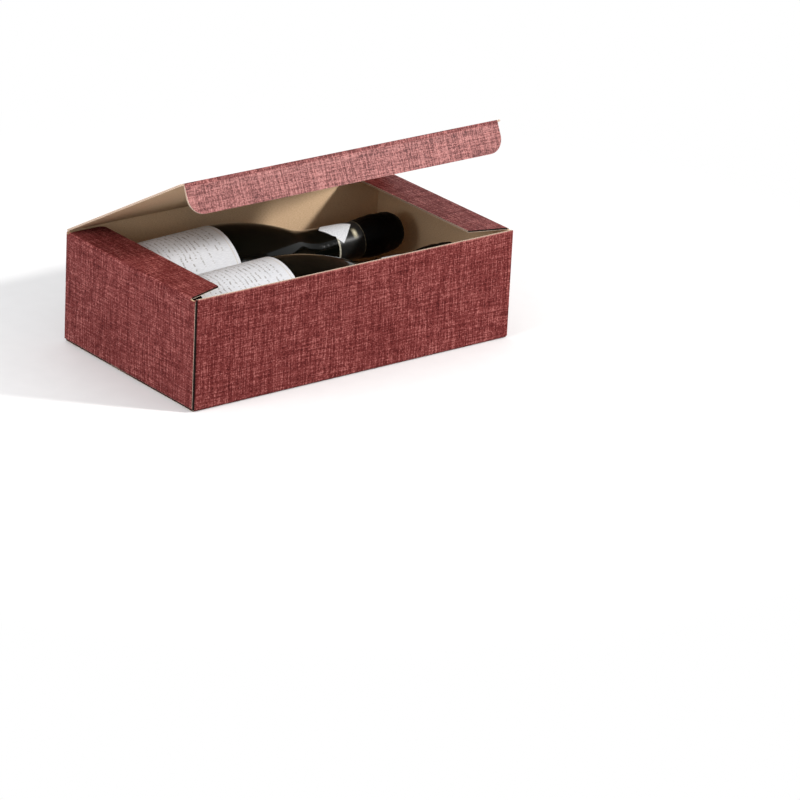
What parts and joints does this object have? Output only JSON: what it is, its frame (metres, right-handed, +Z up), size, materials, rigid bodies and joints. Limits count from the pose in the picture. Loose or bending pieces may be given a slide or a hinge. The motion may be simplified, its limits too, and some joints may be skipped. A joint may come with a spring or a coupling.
{
  "type": "wine gift box",
  "caption": "Folded linen-look card gift box lying on its long side, with a hinged lid, a tuck flap, dust flaps and bottles of sparkling wine inside.",
  "frame": {"origin": "middle of the box's base, on the surface that it stands on", "axes": "+X along the box's length to its right end, -Y to the front that the lid opens towards, +Z up"},
  "size_m": [0.325, 0.185, 0.1855],
  "materials": {
    "linen_board": "matte",
    "dark_glass": "gloss",
    "black_foil": "satin",
    "label_paper": "matte",
    "collar_paper": "satin"
  },
  "bodies": {
    "box": {"box_body": "linen_board", "rear_bottle_glass": "dark_glass", "rear_bottle_foil_hood": "black_foil", "rear_bottle_label": "label_paper", "rear_bottle_neck_collar": "collar_paper", "front_bottle_glass": "dark_glass", "front_bottle_foil_hood": "black_foil", "front_bottle_label": "label_paper", "front_bottle_neck_collar": "collar_paper"},
    "lid": {"lid_panel": "linen_board"},
    "tuck": {"tuck_flap": "linen_board"}
  },
  "joints": [
    {"name": "lid_fold", "type": "hinge", "parent": "box", "child": "lid", "pos_m": [0, 0.0917, 0.0971], "axis": [-1, 0, 0], "range_deg": [-29, 151]},
    {"name": "tuck_fold", "type": "hinge", "parent": "lid", "child": "tuck", "pos_m": [0, -0.06626, 0.18466], "axis": [-1, 0, 0], "range_deg": [-4, 93]}
  ]
}
